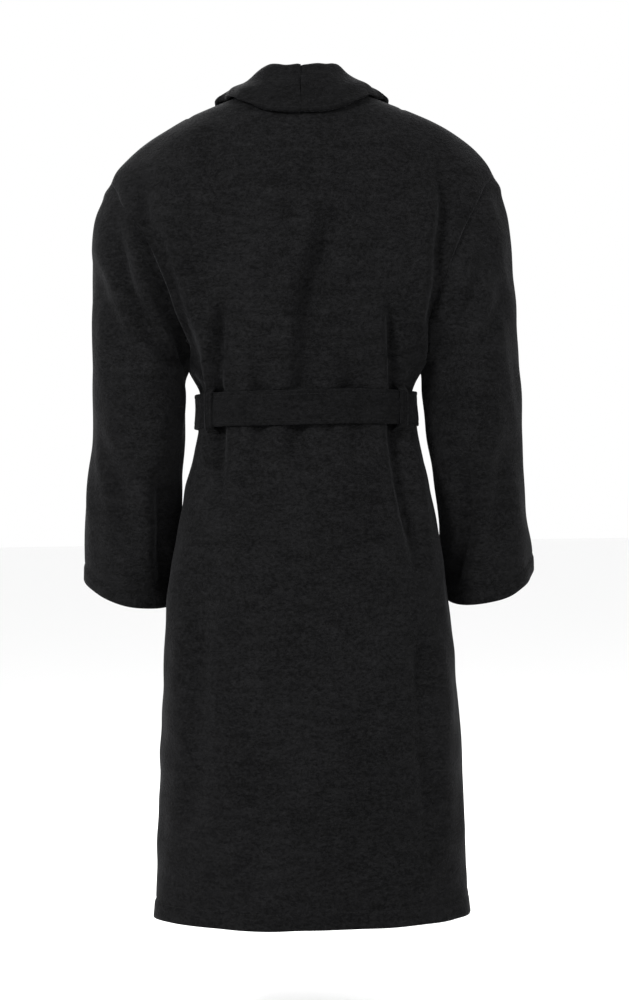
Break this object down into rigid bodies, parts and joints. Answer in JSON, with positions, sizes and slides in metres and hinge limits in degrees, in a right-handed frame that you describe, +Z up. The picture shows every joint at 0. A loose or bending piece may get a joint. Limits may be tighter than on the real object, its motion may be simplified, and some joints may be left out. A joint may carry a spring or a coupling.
{
  "type": "bathrobe",
  "caption": "Knee-length terry bathrobe with a shawl collar, hanging as on a body, belt tied at the waist.",
  "frame": {"origin": "on the centre line, level with the points where the shoulder seams meet the neckline, where a hanger's hook rises", "axes": "+Z up, the robe's front towards -Y, the wearer's left towards +X"},
  "size_m": [0.6538, 0.3304, 1.1975],
  "materials": {
    "terry": "cut-pile cotton terry, black, very matt",
    "terry_doubled": "two layers of the same terry, edge-stitched",
    "terry_facing": "the same terry, inside faces",
    "tape": "plain woven cotton tape"
  },
  "bodies": {
    "robe_body": {"back_panel": "terry", "front_panel_left": "terry", "front_panel_right": "terry", "collar_left": "terry_doubled", "collar_right": "terry_doubled", "belt_band": "terry_doubled", "belt_knot": "terry_doubled", "belt_loop_left": "terry_doubled", "belt_loop_right": "terry_doubled", "pocket_left": "terry_doubled", "pocket_right": "terry_doubled", "back_neck_facing": "terry_facing", "front_facing_left": "terry_facing", "front_facing_right": "terry_facing", "shoulder_tape_left": "tape", "shoulder_tape_right": "tape"},
    "sleeve_left": {"sleeve_left": "terry"},
    "sleeve_right": {"sleeve_right": "terry"},
    "belt_tail_left": {"belt_tail_left": "terry_doubled"},
    "belt_tail_right": {"belt_tail_right": "terry_doubled"},
    "hanger_loop": {"hanger_loop": "tape"}
  },
  "joints": [
    {"name": "sleeve_left_lift", "type": "hinge", "parent": "robe_body", "child": "sleeve_left", "pos_m": [0.235, 0, -0.07], "axis": [0, -1, 0], "range_deg": [0, 75]},
    {"name": "sleeve_right_lift", "type": "hinge", "parent": "robe_body", "child": "sleeve_right", "pos_m": [-0.235, 0, -0.07], "axis": [0, 1, 0], "range_deg": [0, 75]},
    {"name": "belt_tail_left_swing", "type": "hinge", "parent": "robe_body", "child": "belt_tail_left", "pos_m": [0.0286, -0.1316, -0.4718], "axis": [-1, 0, 0], "range_deg": [0, 60]},
    {"name": "belt_tail_right_swing", "type": "hinge", "parent": "robe_body", "child": "belt_tail_right", "pos_m": [-0.0286, -0.1316, -0.4718], "axis": [-1, 0, 0], "range_deg": [0, 60]},
    {"name": "hanger_loop_turn", "type": "hinge", "parent": "robe_body", "child": "hanger_loop", "pos_m": [0, 0.0703, -0.014], "axis": [-1, 0, 0], "range_deg": [0, 150]}
  ]
}
